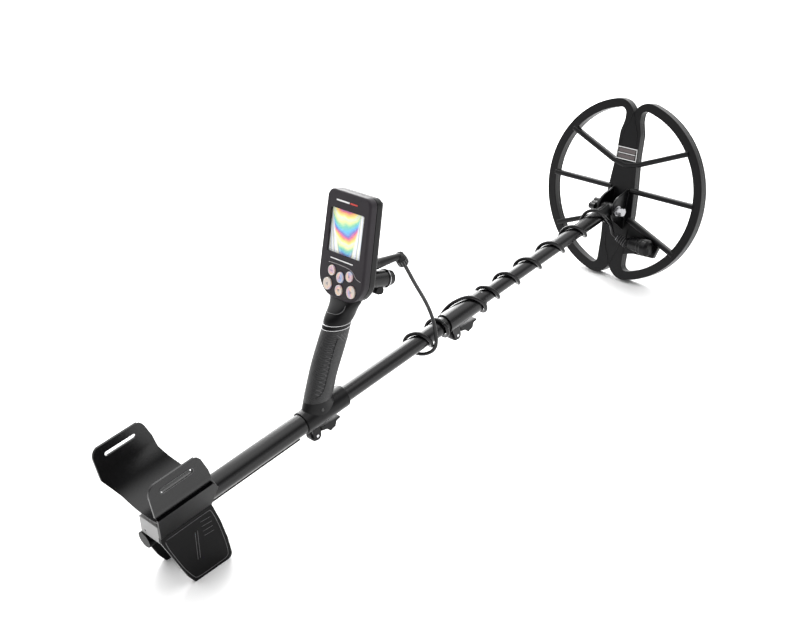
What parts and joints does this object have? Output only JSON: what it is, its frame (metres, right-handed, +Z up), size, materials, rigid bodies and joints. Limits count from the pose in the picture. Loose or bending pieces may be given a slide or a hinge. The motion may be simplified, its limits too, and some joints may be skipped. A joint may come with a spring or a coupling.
{
  "type": "metal detector",
  "caption": "Hand-held metal detector with arm cuff and stand, control box on a grip, telescoping shaft and tilting open search coil.",
  "frame": {"origin": "middle of the bounding box in X and Y, on the floor it stands on", "axes": "+X forward from the arm cuff to the coil, +Y to the user's left, +Z up"},
  "size_m": [0.9762, 0.28, 0.3484],
  "materials": {
    "tube_black": "satin",
    "body_black": "satin",
    "coil_black": "satin",
    "bezel": "satin",
    "pearl": "gloss",
    "grip": "matte",
    "seal": "matte",
    "grey": "satin",
    "steel": "satin",
    "ring": "gloss",
    "glass": "gloss",
    "screen": "gloss",
    "board": "satin",
    "cell": "satin",
    "copper": "satin",
    "label": "satin",
    "lead": "satin"
  },
  "bodies": {
    "upper": {"upper_tube": "tube_black", "tube_end_cap": "grey", "underside_rail": "body_black", "handle_body": "body_black", "grip_sleeve": "grip", "grip_ring": "ring", "handle_screws": "steel", "box_neck": "body_black", "front_shell": "bezel", "rear_shell": "body_black", "box_gasket": "seal", "shell_screws": "steel", "window": "glass", "display": "screen", "main_board": "board", "keypad_mat": "seal", "battery": "cell", "speaker": "grey", "coil_socket": "ring", "lead_plug": "body_black", "headphone_socket": "body_black", "socket_tab": "seal", "cuff_plate": "body_black", "cuff_screws": "steel", "cuff_bracket": "body_black", "arm_stand": "body_black", "upper_lever_pin": "steel", "lead_upper": "lead"},
    "middle": {"mid_tube": "tube_black", "mid_bush": "grey", "clamp_collar": "body_black", "lower_lever_pin": "steel", "lead_middle": "lead"},
    "lower": {"lower_tube": "tube_black", "lower_bush": "grey", "end_fitting": "grey", "hinge_washers": "seal", "lead_lower": "lead"},
    "coil": {"coil_top_shell": "coil_black", "coil_lower_cover": "coil_black", "left_winding": "copper", "right_winding": "copper", "coil_label": "label", "cable_boss": "coil_black", "strain_relief": "seal", "hinge_bolt": "body_black"},
    "knob": {"hinge_knob": "body_black"},
    "nut": {"plug_nut": "body_black"},
    "cap": {"socket_cap": "body_black"},
    "upper_cam": {"upper_lever": "body_black"},
    "lower_cam": {"lower_lever": "body_black"},
    "button_upper_left": {"button_upper_left": "pearl"},
    "button_upper_centre": {"button_upper_centre": "pearl"},
    "button_upper_right": {"button_upper_right": "pearl"},
    "button_lower_left": {"button_lower_left": "pearl"},
    "button_lower_centre": {"button_lower_centre": "pearl"},
    "button_lower_right": {"button_lower_right": "pearl"}
  },
  "joints": [
    {"name": "middle_slide", "type": "slide", "parent": "upper", "child": "middle", "axis": [0.999, 0, 0.0436], "range_m": [-0.14, 0.11], "deforming": ["lead_upper"]},
    {"name": "lower_slide", "type": "slide", "parent": "middle", "child": "lower", "axis": [0.999, 0, 0.0436], "range_m": [-0.19, 0.115], "deforming": ["lead_middle"]},
    {"name": "coil_tilt", "type": "hinge", "parent": "lower", "child": "coil", "pos_m": [0.39979, 0, 0.11534], "axis": [0, 1, 0], "range_deg": [-20, 55], "deforming": ["lead_lower"]},
    {"name": "knob_turn", "type": "hinge", "parent": "coil", "child": "knob", "pos_m": [0.39979, 0, 0.11534], "axis": [0, 1, 0], "continuous": true},
    {"name": "nut_turn", "type": "hinge", "parent": "upper", "child": "nut", "pos_m": [-0.0591, -0.024, 0.24715], "axis": [0.3846, 0, -0.9231], "continuous": true},
    {"name": "cap_turn", "type": "hinge", "parent": "upper", "child": "cap", "pos_m": [-0.08563, -0.024, 0.23125], "axis": [0.9438, 0, -0.3305], "continuous": true},
    {"name": "upper_lever_open", "type": "hinge", "parent": "upper", "child": "upper_cam", "pos_m": [-0.22252, 0, 0.06315], "axis": [0, 1, 0], "range_deg": [0, 100]},
    {"name": "lower_lever_open", "type": "hinge", "parent": "middle", "child": "lower_cam", "pos_m": [0.0412, 0, 0.07516], "axis": [0, 1, 0], "range_deg": [0, 100]},
    {"name": "button_upper_left_press", "type": "slide", "parent": "upper", "child": "button_upper_left", "axis": [0.9438, 0, -0.3305], "range_m": [0, 0.001], "stiffness_N_per_m": 300},
    {"name": "button_upper_centre_press", "type": "slide", "parent": "upper", "child": "button_upper_centre", "axis": [0.9438, 0, -0.3305], "range_m": [0, 0.001], "stiffness_N_per_m": 300},
    {"name": "button_upper_right_press", "type": "slide", "parent": "upper", "child": "button_upper_right", "axis": [0.9438, 0, -0.3305], "range_m": [0, 0.001], "stiffness_N_per_m": 300},
    {"name": "button_lower_left_press", "type": "slide", "parent": "upper", "child": "button_lower_left", "axis": [0.9438, 0, -0.3305], "range_m": [0, 0.001], "stiffness_N_per_m": 300},
    {"name": "button_lower_centre_press", "type": "slide", "parent": "upper", "child": "button_lower_centre", "axis": [0.9438, 0, -0.3305], "range_m": [0, 0.001], "stiffness_N_per_m": 300},
    {"name": "button_lower_right_press", "type": "slide", "parent": "upper", "child": "button_lower_right", "axis": [0.9438, 0, -0.3305], "range_m": [0, 0.001], "stiffness_N_per_m": 300}
  ]
}
